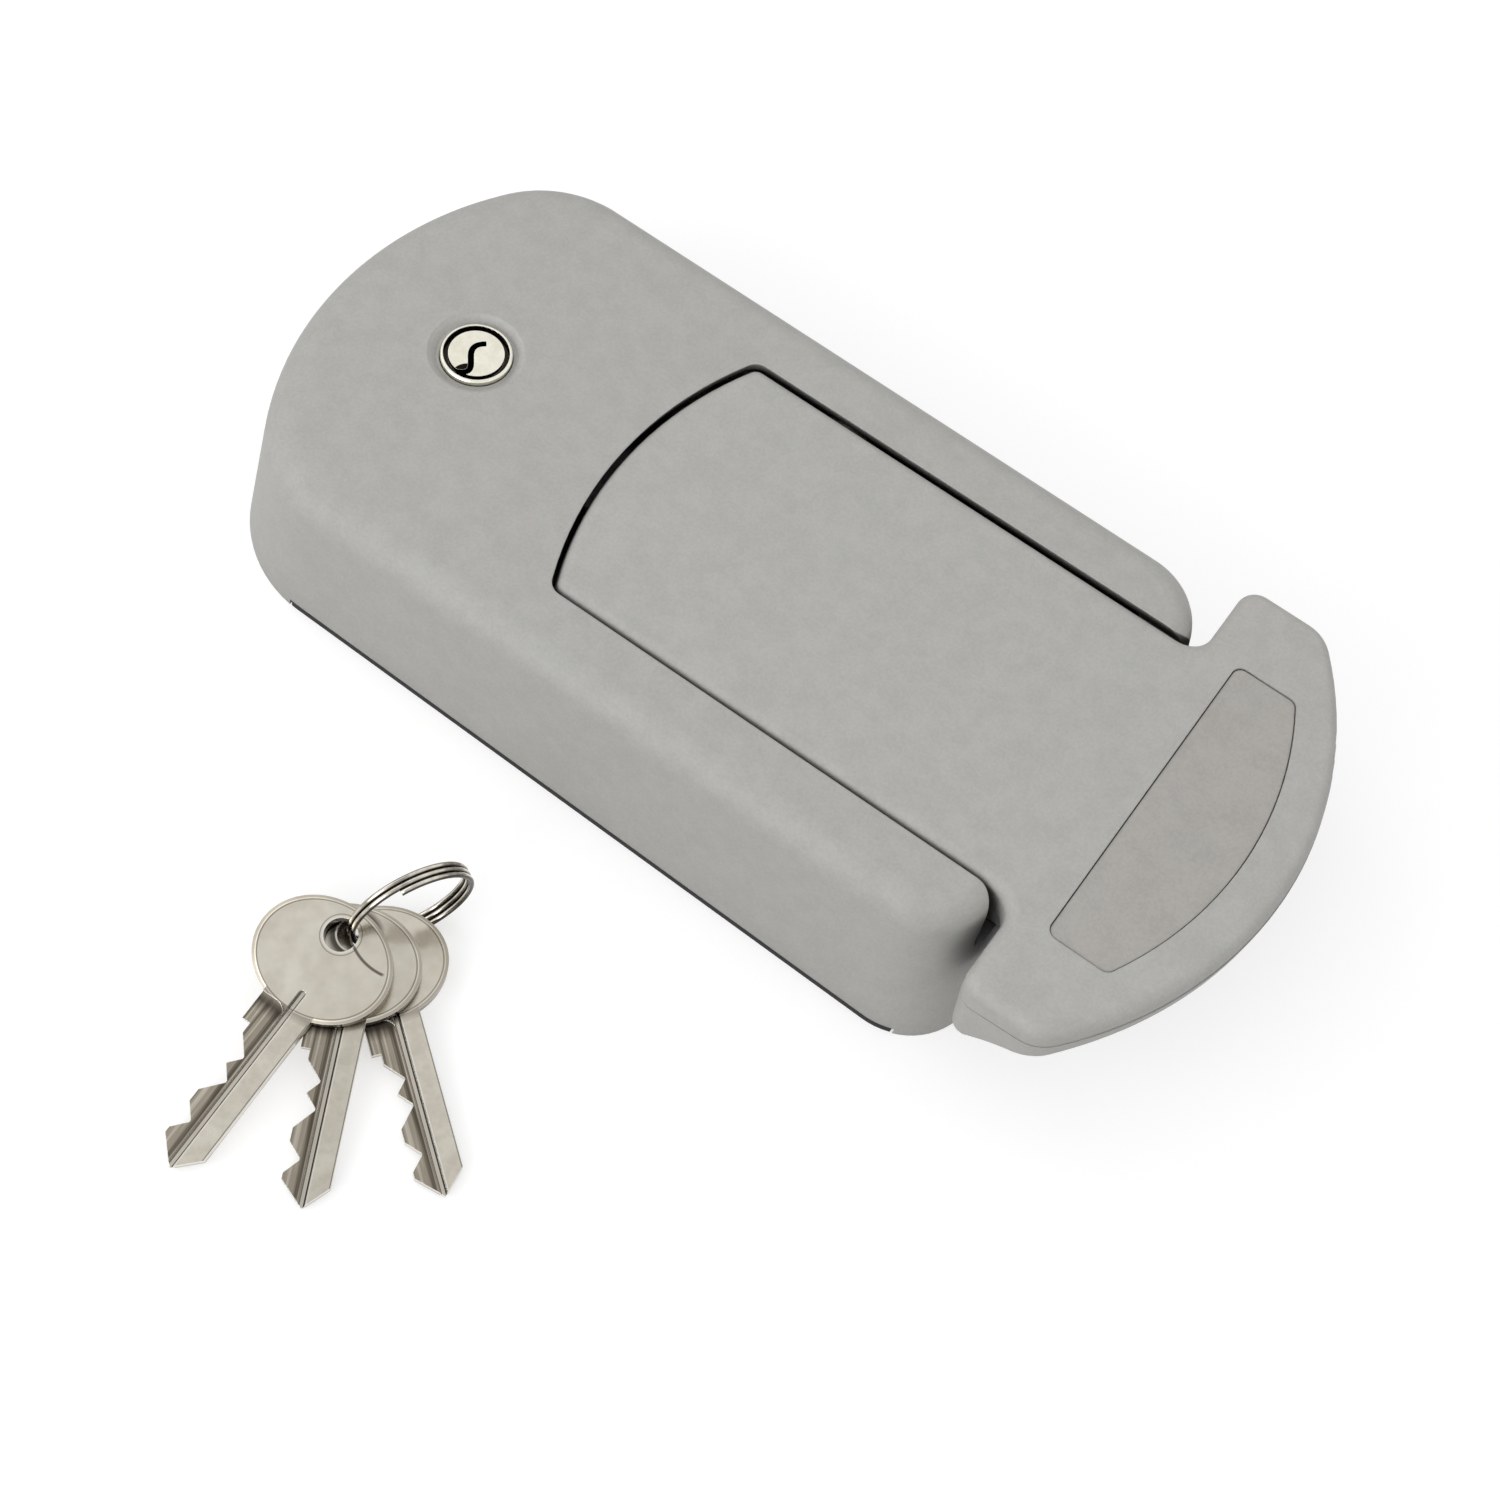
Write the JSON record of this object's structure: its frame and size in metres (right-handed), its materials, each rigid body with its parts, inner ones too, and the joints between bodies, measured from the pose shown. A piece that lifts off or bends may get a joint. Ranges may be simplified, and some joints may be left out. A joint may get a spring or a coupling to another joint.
{
  "type": "flush handle lock",
  "caption": "Surface-mounted flush handle lock: drafted grey housing, hinged paddle with a T-shaped grip, key cylinder, side latch bolt and a bunch of keys.",
  "frame": {"origin": "centre of the housing's footprint on the door, z = 0 on the door's face", "axes": "+X along the lock from the key cylinder to the grip, +Y to the side that the latch bolt comes out of, +Z out of the door"},
  "size_m": [0.2176, 0.2104, 0.0412],
  "materials": {
    "housing_plastic": "moulded, fine satin grain, warm light grey",
    "handle_plastic": "moulded, fine satin grain, warm light grey",
    "inlay_plastic": "smooth matt, slightly warmer grey",
    "black_rubber": "matt black",
    "zinc_steel": "zinc plated",
    "bright_steel": "ground",
    "spring_steel": "drawn wire and strip",
    "bolt_zinc": "tumbled zinc casting",
    "bush_plastic": "natural acetal",
    "nickel": "satin nickel plate",
    "ring_steel": "nickel plated spring steel",
    "key_nickel": "nickel plated brass, fine scratches"
  },
  "bodies": {
    "case": {"housing": "housing_plastic", "gasket": "black_rubber", "chassis_plate": "zinc_steel", "housing_screws": "zinc_steel", "mounting_inserts": "zinc_steel", "pivot_pin": "bright_steel", "pin_clip": "spring_steel", "handle_stops": "black_rubber", "cylinder_body": "nickel", "cylinder_retainer": "zinc_steel", "retainer_screws": "zinc_steel", "crank_post": "bright_steel", "crank_clip": "spring_steel", "bolt_guide": "zinc_steel", "guide_screws": "zinc_steel", "spring_seat": "zinc_steel", "bolt_spring": "spring_steel"},
    "handle": {"handle_shell": "handle_plastic", "grip_inlay": "inlay_plastic", "grip_lower_shell": "handle_plastic", "grip_screws": "zinc_steel", "pivot_bushes": "bush_plastic", "lever_plate": "zinc_steel", "lever_screws": "zinc_steel", "drive_arm": "zinc_steel"},
    "plug": {"cylinder_plug": "nickel", "locking_cam": "zinc_steel", "cam_screw": "zinc_steel"},
    "crank": {"bell_crank": "zinc_steel", "crank_studs": "bright_steel"},
    "bolt": {"latch_bolt": "bolt_zinc"},
    "key_ring": {"split_ring": "ring_steel"},
    "first_key": {"key_1": "key_nickel"},
    "second_key": {"key_2": "key_nickel"},
    "third_key": {"key_3": "key_nickel"}
  },
  "joints": [
    {"name": "handle_hinge", "type": "hinge", "parent": "case", "child": "handle", "pos_m": [0.00779, 0, 0.02806], "axis": [0, -1, 0], "range_deg": [0, 22]},
    {"name": "crank_hinge", "type": "hinge", "parent": "case", "child": "crank", "pos_m": [0.01394, -0.014, 0.007], "axis": [0, 0, 1], "range_deg": [-25.5, 0.3]},
    {"name": "bolt_slide", "type": "slide", "parent": "case", "child": "bolt", "axis": [0, -1, 0], "range_m": [-0.0001, 0.0121], "deforming": ["bolt_spring"]},
    {"name": "cylinder_turn", "type": "hinge", "parent": "case", "child": "plug", "pos_m": [-0.05614, 0, 0.02521], "axis": [-0.0445, 0, 0.999], "range_deg": [0, 90]},
    {"name": "key_ring_lift", "type": "slide", "parent": "case", "child": "key_ring", "axis": [0, 0, 1], "range_m": [0, 0.05]},
    {"name": "key_1_swing", "type": "hinge", "parent": "key_ring", "child": "first_key", "pos_m": [-0.0055, -0.1016, 0.0104], "axis": [0.0046, -0.177, 0.9842], "range_deg": [-5, 5]},
    {"name": "key_2_swing", "type": "hinge", "parent": "key_ring", "child": "second_key", "pos_m": [-0.0046, -0.099, 0.00704], "axis": [0.0527, -0.1012, 0.9935], "range_deg": [-5, 5]},
    {"name": "key_3_swing", "type": "hinge", "parent": "key_ring", "child": "third_key", "pos_m": [-0.0032, -0.0967, 0.0036], "axis": [0.0379, -0.028, 0.9989], "range_deg": [-5, 5]}
  ],
  "couplings": [
    {"joint": "crank_hinge", "follows": "handle_hinge", "ratio": -1.1429},
    {"joint": "bolt_slide", "follows": "handle_hinge", "m_per_rad": 0.031252}
  ]
}
